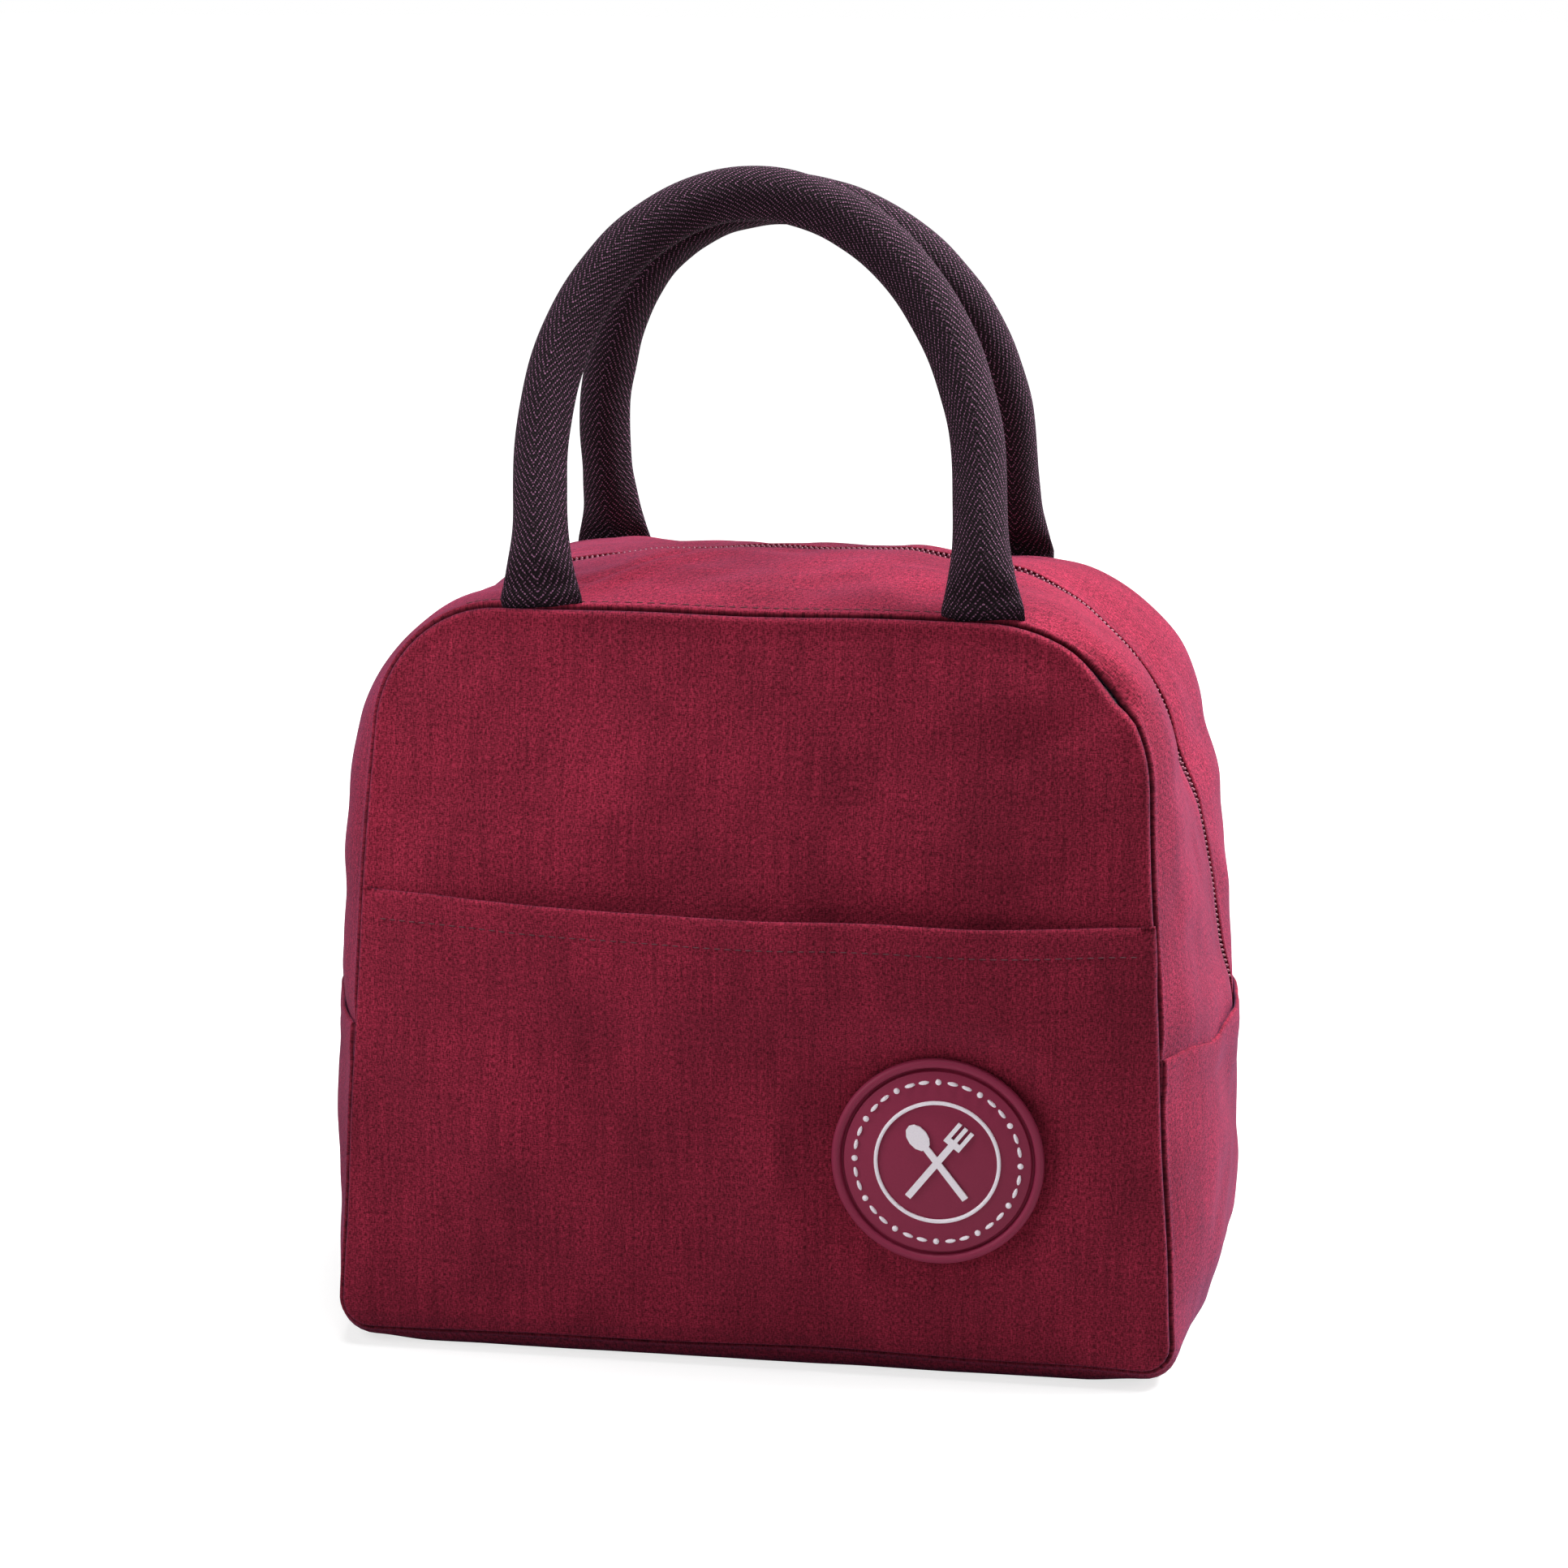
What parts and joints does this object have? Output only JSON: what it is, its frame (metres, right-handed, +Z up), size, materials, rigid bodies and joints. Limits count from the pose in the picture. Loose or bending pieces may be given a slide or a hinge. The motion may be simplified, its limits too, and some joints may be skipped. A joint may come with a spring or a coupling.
{
  "type": "insulated lunch bag",
  "caption": "Soft insulated lunch bag with a zipped arched top, a flat base, a front patch pocket with a round moulded badge, and padded webbing carry handles.",
  "frame": {"origin": "under the middle of the base, on the plane that the bag stands on", "axes": "+X to the right as seen from the front, +Y from the front with the pocket to the back, +Z up"},
  "size_m": [0.2557, 0.1379, 0.3209],
  "materials": {
    "polyester_cloth": "woven melange polyester, matt",
    "foam": "closed-cell foam sheet",
    "foil_lining": "aluminised film, quilted, satin",
    "binding_tape": "woven binding tape",
    "webbing": "herringbone woven webbing",
    "handle_cord": "twisted filler cord",
    "zip_tape": "knitted zip tape",
    "zip_coil": "nylon coil",
    "slider_metal": "painted zinc alloy",
    "badge_rubber": "soft moulded PVC, satin",
    "badge_inlay": "soft moulded PVC, satin"
  },
  "bodies": {
    "tub": {"gusset": "polyester_cloth", "gusset_foam": "foam", "gusset_lining": "foil_lining", "front_panel_lower": "polyester_cloth", "front_foam_lower": "foam", "front_lining_lower": "foil_lining", "front_binding_lower": "binding_tape", "back_panel_lower": "polyester_cloth", "back_foam_lower": "foam", "back_lining_lower": "foil_lining", "back_binding_lower": "binding_tape", "pocket_lower": "polyester_cloth", "badge_base": "badge_rubber", "badge_ring": "badge_inlay", "badge_cutlery": "badge_inlay"},
    "front_leaf": {"front_panel_upper": "polyester_cloth", "front_foam_upper": "foam", "front_lining_upper": "foil_lining", "front_binding_upper": "binding_tape", "pocket_upper": "polyester_cloth", "front_zip_band": "polyester_cloth", "front_band_foam": "foam", "front_band_lining": "foil_lining", "front_zip_tape": "zip_tape", "front_zip_teeth": "zip_coil"},
    "back_leaf": {"back_panel_upper": "polyester_cloth", "back_foam_upper": "foam", "back_lining_upper": "foil_lining", "back_binding_upper": "binding_tape", "back_zip_band": "polyester_cloth", "back_band_foam": "foam", "back_band_lining": "foil_lining", "back_zip_tape": "zip_tape", "back_zip_teeth": "zip_coil"},
    "front_handle": {"front_handle_webbing": "webbing", "front_handle_core": "handle_cord"},
    "back_handle": {"back_handle_webbing": "webbing", "back_handle_core": "handle_cord"},
    "slider": {"zip_slider": "slider_metal"},
    "pull": {"zip_pull": "slider_metal"}
  },
  "joints": [
    {"name": "front_leaf_fold", "type": "hinge", "parent": "tub", "child": "front_leaf", "pos_m": [0, -0.0665, 0.095], "axis": [1, 0, 0], "range_deg": [0, 30], "deforming": ["front_zip_tape", "front_zip_teeth"]},
    {"name": "back_leaf_fold", "type": "hinge", "parent": "tub", "child": "back_leaf", "pos_m": [0, 0.0652, 0.095], "axis": [-1, 0, 0], "range_deg": [0, 30], "deforming": ["back_zip_tape", "back_zip_teeth"]},
    {"name": "front_handle_swing", "type": "hinge", "parent": "front_leaf", "child": "front_handle", "pos_m": [0, -0.0525, 0.2097], "axis": [1, 0, 0], "range_deg": [0, 150]},
    {"name": "back_handle_swing", "type": "hinge", "parent": "back_leaf", "child": "back_handle", "pos_m": [0, 0.0525, 0.2097], "axis": [-1, 0, 0], "range_deg": [0, 150]},
    {"name": "slider_travel", "type": "slide", "parent": "tub", "child": "slider", "axis": [0.1712, 0, 0.9852], "range_m": [0, 0.03]},
    {"name": "pull_swing", "type": "hinge", "parent": "slider", "child": "pull", "pos_m": [-0.12489, 0, 0.09846], "axis": [0, 1, 0], "range_deg": [0, 170]}
  ]
}
